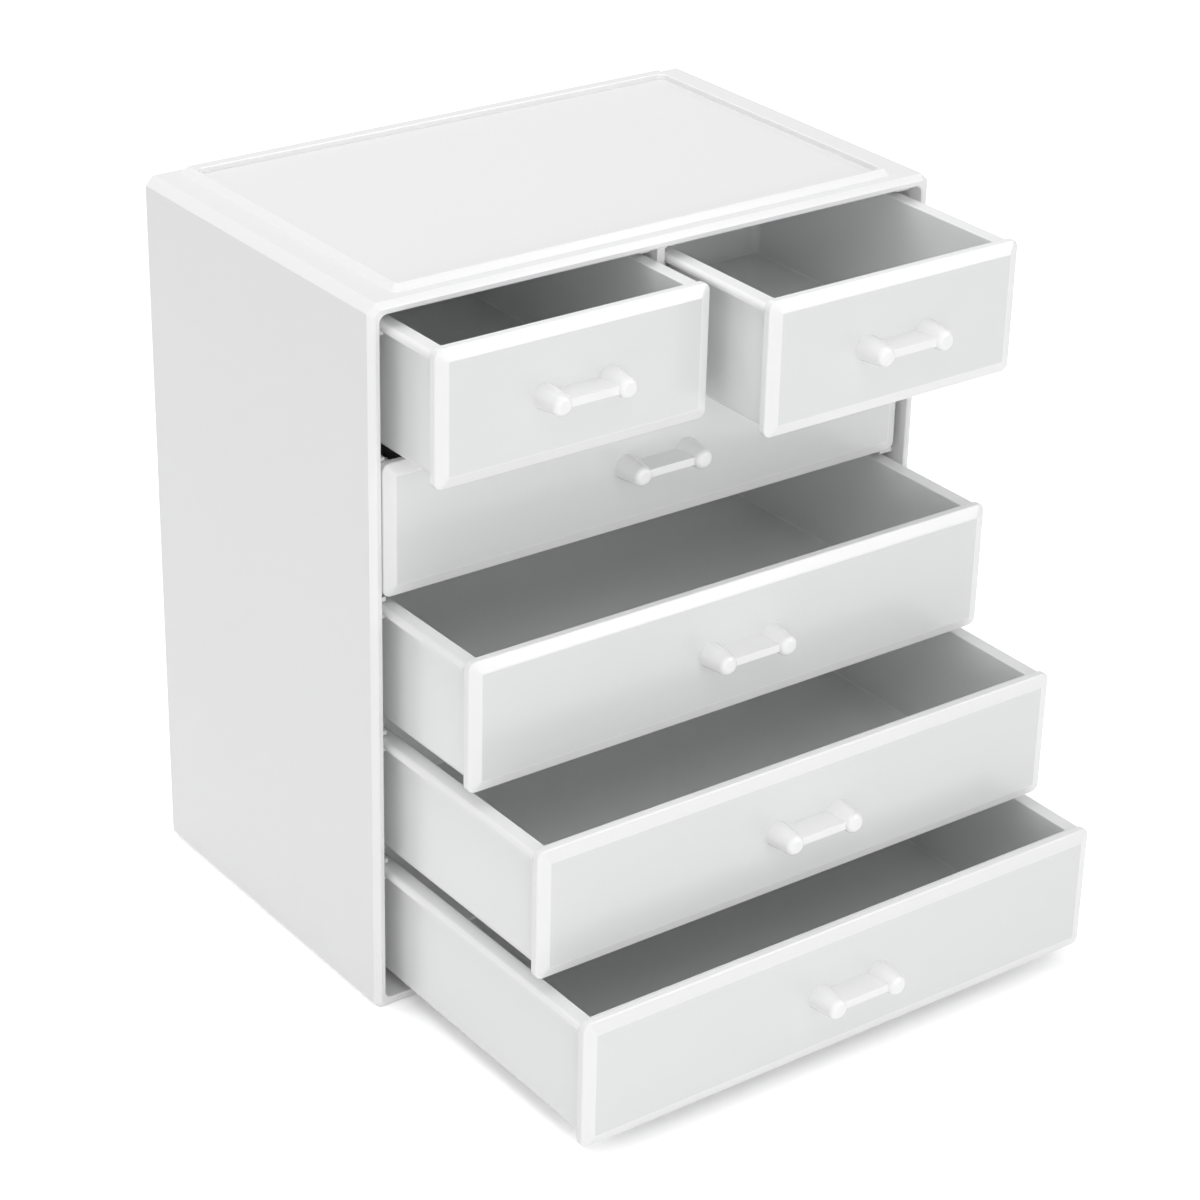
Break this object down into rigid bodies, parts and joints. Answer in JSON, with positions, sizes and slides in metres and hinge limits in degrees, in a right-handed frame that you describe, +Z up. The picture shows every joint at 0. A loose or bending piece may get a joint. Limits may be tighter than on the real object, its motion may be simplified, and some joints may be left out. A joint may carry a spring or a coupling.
{
  "type": "desktop drawer organizer",
  "caption": "Free-standing box of moulded plastic with bevelled drawer fronts and bar handles: small drawers side by side over full-width ones, and a rimmed recess on top.",
  "frame": {"origin": "centre of the case's underside, on the surface it stands on", "axes": "+Z up, -Y out of the front, the way the drawers pull; +X to the right seen from the front"},
  "size_m": [0.24, 0.278, 0.2737],
  "materials": {
    "case": "glossy opaque white",
    "tray": "glossy opaque white",
    "front": "glossy opaque white",
    "handle": "glossy opaque white"
  },
  "bodies": {
    "case": {"case_side_left": "case", "case_side_right": "case", "case_top": "case", "case_bottom": "case", "case_back": "case", "case_divider": "case"},
    "drawer_top_left": {"drawer_top_left_tray": "tray", "drawer_top_left_front": "front", "drawer_top_left_handle": "handle"},
    "drawer_top_right": {"drawer_top_right_tray": "tray", "drawer_top_right_front": "front", "drawer_top_right_handle": "handle"},
    "drawer_row_2": {"drawer_row_2_tray": "tray", "drawer_row_2_front": "front", "drawer_row_2_handle": "handle"},
    "drawer_row_3": {"drawer_row_3_tray": "tray", "drawer_row_3_front": "front", "drawer_row_3_handle": "handle"},
    "drawer_row_4": {"drawer_row_4_tray": "tray", "drawer_row_4_front": "front", "drawer_row_4_handle": "handle"},
    "drawer_row_5": {"drawer_row_5_tray": "tray", "drawer_row_5_front": "front", "drawer_row_5_handle": "handle"}
  },
  "joints": [
    {"name": "drawer_top_left_slide", "type": "slide", "parent": "case", "child": "drawer_top_left", "axis": [0, -1, 0], "range_m": [-0.0315, 0.0895]},
    {"name": "drawer_top_right_slide", "type": "slide", "parent": "case", "child": "drawer_top_right", "axis": [0, -1, 0], "range_m": [-0.0575, 0.0635]},
    {"name": "drawer_row_2_slide", "type": "slide", "parent": "case", "child": "drawer_row_2", "axis": [0, -1, 0], "range_m": [0, 0.121]},
    {"name": "drawer_row_3_slide", "type": "slide", "parent": "case", "child": "drawer_row_3", "axis": [0, -1, 0], "range_m": [-0.0515, 0.0695]},
    {"name": "drawer_row_4_slide", "type": "slide", "parent": "case", "child": "drawer_row_4", "axis": [0, -1, 0], "range_m": [-0.092, 0.029]},
    {"name": "drawer_row_5_slide", "type": "slide", "parent": "case", "child": "drawer_row_5", "axis": [0, -1, 0], "range_m": [-0.1195, 0.0015]}
  ]
}
